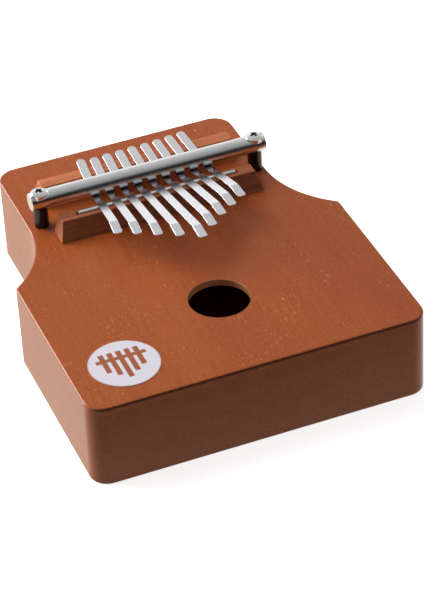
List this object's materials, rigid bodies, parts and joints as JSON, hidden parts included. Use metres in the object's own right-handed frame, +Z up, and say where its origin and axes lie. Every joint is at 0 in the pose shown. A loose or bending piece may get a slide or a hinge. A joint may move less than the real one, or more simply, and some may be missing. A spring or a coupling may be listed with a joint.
{
  "type": "mbira",
  "caption": "Hollow waisted wooden box with a round sound hole and a fan of flat steel tines that a round bar, held by two screws, clamps across two wooden bridges.",
  "frame": {"origin": "under the middle of the box, on the surface that its back plate rests on", "axes": "+X to the player's right along the clamp bar, +Y from the player's end to the rear ends of the tines, +Z up out of the soundboard"},
  "size_m": [0.1856, 0.2204, 0.0724],
  "materials": {
    "box_wood": "satin lacquered reddish-brown wood",
    "bridge_wood": "oiled dark red wood",
    "brace_wood": "raw spruce",
    "badge_film": "printed satin film",
    "rod_steel": "polished",
    "bar_steel": "polished steel with fine turning marks",
    "screw_chrome": "polished",
    "sleeve_rubber": "satin black",
    "insert_brass": "machined",
    "tine_steel": "ground spring steel"
  },
  "bodies": {
    "case": {"soundboard": "box_wood", "side_frame": "box_wood", "back_plate": "box_wood", "soundboard_brace": "brace_wood", "badge": "badge_film", "front_bridge": "bridge_wood", "rear_bridge": "bridge_wood", "front_rod": "rod_steel", "sleeve_left": "sleeve_rubber", "sleeve_right": "sleeve_rubber", "threaded_inserts": "insert_brass", "tine_1_tail": "tine_steel", "tine_2_tail": "tine_steel", "tine_3_tail": "tine_steel", "tine_4_tail": "tine_steel", "tine_5_tail": "tine_steel", "tine_6_tail": "tine_steel", "tine_7_tail": "tine_steel", "tine_8_tail": "tine_steel", "tine_9_tail": "tine_steel"},
    "clamp": {"clamp_bar": "bar_steel", "screw_washers": "screw_chrome"},
    "screw_left": {"clamp_screw_left": "screw_chrome"},
    "screw_right": {"clamp_screw_right": "screw_chrome"},
    "tine_1": {"tine_1_blade": "tine_steel"},
    "tine_2": {"tine_2_blade": "tine_steel"},
    "tine_3": {"tine_3_blade": "tine_steel"},
    "tine_4": {"tine_4_blade": "tine_steel"},
    "tine_5": {"tine_5_blade": "tine_steel"},
    "tine_6": {"tine_6_blade": "tine_steel"},
    "tine_7": {"tine_7_blade": "tine_steel"},
    "tine_8": {"tine_8_blade": "tine_steel"},
    "tine_9": {"tine_9_blade": "tine_steel"}
  },
  "joints": [
    {"name": "clamp_lift", "type": "slide", "parent": "case", "child": "clamp", "axis": [0, 0, 1], "range_m": [0, 0.0016]},
    {"name": "screw_left_turn", "type": "hinge", "parent": "clamp", "child": "screw_left", "pos_m": [-0.0612, 0.052, 0.0693], "axis": [0, 0, 1], "range_deg": [0, 720]},
    {"name": "screw_right_turn", "type": "hinge", "parent": "clamp", "child": "screw_right", "pos_m": [0.0638, 0.052, 0.0693], "axis": [0, 0, 1], "range_deg": [0, 720]},
    {"name": "tine_1_flex", "type": "hinge", "parent": "case", "child": "tine_1", "pos_m": [-0.03083, 0.0385, 0.06237], "axis": [1, 0, 0], "range_deg": [-4.26, 6.79], "stiffness_Nm_per_rad": 5.207},
    {"name": "tine_2_flex", "type": "hinge", "parent": "case", "child": "tine_2", "pos_m": [-0.02245, 0.0385, 0.06237], "axis": [1, 0, 0], "range_deg": [-3.58, 5.71], "stiffness_Nm_per_rad": 4.374},
    {"name": "tine_3_flex", "type": "hinge", "parent": "case", "child": "tine_3", "pos_m": [-0.01407, 0.0385, 0.06237], "axis": [1, 0, 0], "range_deg": [-3.02, 4.82], "stiffness_Nm_per_rad": 3.691},
    {"name": "tine_4_flex", "type": "hinge", "parent": "case", "child": "tine_4", "pos_m": [-0.00569, 0.0385, 0.06237], "axis": [1, 0, 0], "range_deg": [-2.61, 4.17], "stiffness_Nm_per_rad": 3.193},
    {"name": "tine_5_flex", "type": "hinge", "parent": "case", "child": "tine_5", "pos_m": [0.00269, 0.0385, 0.06237], "axis": [1, 0, 0], "range_deg": [-2.28, 3.64], "stiffness_Nm_per_rad": 2.782},
    {"name": "tine_6_flex", "type": "hinge", "parent": "case", "child": "tine_6", "pos_m": [0.01107, 0.0385, 0.06237], "axis": [1, 0, 0], "range_deg": [-2.7, 4.31], "stiffness_Nm_per_rad": 3.295},
    {"name": "tine_7_flex", "type": "hinge", "parent": "case", "child": "tine_7", "pos_m": [0.01945, 0.0385, 0.06237], "axis": [1, 0, 0], "range_deg": [-3.26, 5.21], "stiffness_Nm_per_rad": 3.985},
    {"name": "tine_8_flex", "type": "hinge", "parent": "case", "child": "tine_8", "pos_m": [0.02782, 0.0385, 0.06237], "axis": [1, 0, 0], "range_deg": [-3.92, 6.25], "stiffness_Nm_per_rad": 4.793},
    {"name": "tine_9_flex", "type": "hinge", "parent": "case", "child": "tine_9", "pos_m": [0.0362, 0.0385, 0.06237], "axis": [1, 0, 0], "range_deg": [-4.91, 7.83], "stiffness_Nm_per_rad": 6.012}
  ],
  "couplings": [
    {"joint": "screw_left_turn", "follows": "clamp_lift", "rad_per_m": 7854},
    {"joint": "screw_right_turn", "follows": "clamp_lift", "rad_per_m": 7854}
  ]
}
